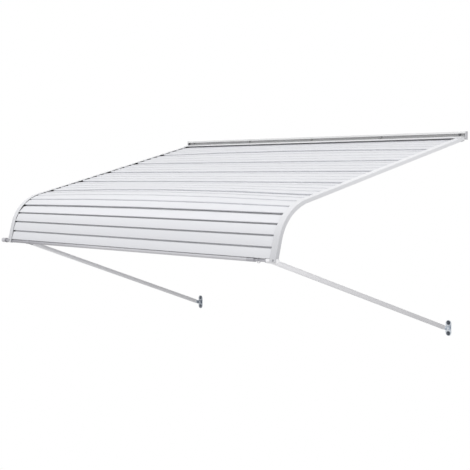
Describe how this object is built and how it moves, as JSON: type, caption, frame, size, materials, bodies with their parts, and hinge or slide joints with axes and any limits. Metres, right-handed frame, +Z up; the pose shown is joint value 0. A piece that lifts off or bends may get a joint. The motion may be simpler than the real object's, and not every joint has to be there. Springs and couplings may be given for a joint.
{
  "type": "door canopy",
  "caption": "Wall-hung door canopy of interlocking ribbed aluminium pans with a rounded drop front, curved side rails, a tube front bar and folding wall struts.",
  "frame": {"origin": "on the wall bar's back face, midway along it and halfway up the bar", "axes": "+X along the wall, +Y into the wall, +Z up; the canopy reaches out along -Y"},
  "size_m": [1.8069, 1.0869, 0.86],
  "materials": {
    "white_enamel": "semi-gloss white baked enamel on aluminium sheet",
    "tube_enamel": "semi-gloss white enamel on aluminium tube",
    "zinc_plate": "bright zinc plated pressed steel",
    "dark_steel": "dark coated steel screw heads",
    "black_plastic": "moulded black"
  },
  "bodies": {
    "wall_hanger": {"wall_bar": "white_enamel", "wall_bar_end_left": "white_enamel", "wall_bar_end_right": "white_enamel", "wall_screw_1": "white_enamel", "wall_screw_2": "white_enamel", "wall_screw_3": "white_enamel", "wall_screw_4": "white_enamel", "wall_screw_5": "dark_steel"},
    "canopy": {"head_rail": "white_enamel", "side_rail_left": "white_enamel", "side_rail_right": "white_enamel", "center_stringer": "white_enamel", "bar_bracket_left": "white_enamel", "bar_bracket_right": "white_enamel", "pan_1": "white_enamel", "pan_2": "white_enamel", "pan_3": "white_enamel", "pan_4": "white_enamel", "pan_5": "white_enamel", "pan_6": "white_enamel", "pan_7": "white_enamel", "front_bar": "tube_enamel", "bar_cap": "tube_enamel", "bar_stop_ring": "black_plastic", "bar_end_fitting": "zinc_plate", "fitting_ring": "tube_enamel", "head_rail_screw_left": "zinc_plate", "head_rail_screw_right": "zinc_plate", "bracket_lock_screw_left": "dark_steel", "bracket_lock_screw_right": "dark_steel"},
    "arm_left": {"arm_tube_left": "tube_enamel", "arm_hub_left": "tube_enamel", "arm_foot_eye_left": "zinc_plate"},
    "arm_right": {"arm_tube_right": "tube_enamel", "arm_hub_right": "tube_enamel", "arm_foot_eye_right": "zinc_plate"},
    "foot_left": {"wall_foot_left": "zinc_plate", "foot_bolt_left": "zinc_plate", "foot_nut_left": "zinc_plate", "foot_screw_left_lower": "dark_steel", "foot_screw_left_upper": "dark_steel"},
    "foot_right": {"wall_foot_right": "zinc_plate", "foot_bolt_right": "zinc_plate", "foot_nut_right": "zinc_plate", "foot_screw_right_lower": "dark_steel", "foot_screw_right_upper": "dark_steel"}
  },
  "joints": [
    {"name": "canopy_lift", "type": "hinge", "parent": "wall_hanger", "child": "canopy", "pos_m": [0, -0.0063, -0.0105], "axis": [-1, 0, 0], "range_deg": [0, 45]},
    {"name": "arm_fold_left", "type": "hinge", "parent": "canopy", "child": "arm_left", "pos_m": [-0.715, -1.07117, -0.45666], "axis": [1, 0, 0], "range_deg": [-100, 35]},
    {"name": "foot_tilt_left", "type": "hinge", "parent": "arm_left", "child": "foot_left", "pos_m": [-0.787, -0.016, -0.811], "axis": [1, 0, 0], "range_deg": [-60, 60]},
    {"name": "arm_fold_right", "type": "hinge", "parent": "canopy", "child": "arm_right", "pos_m": [0.836, -1.07117, -0.45666], "axis": [1, 0, 0], "range_deg": [-100, 35]},
    {"name": "foot_tilt_right", "type": "hinge", "parent": "arm_right", "child": "foot_right", "pos_m": [0.787, -0.016, -0.791], "axis": [1, 0, 0], "range_deg": [-60, 60]}
  ]
}
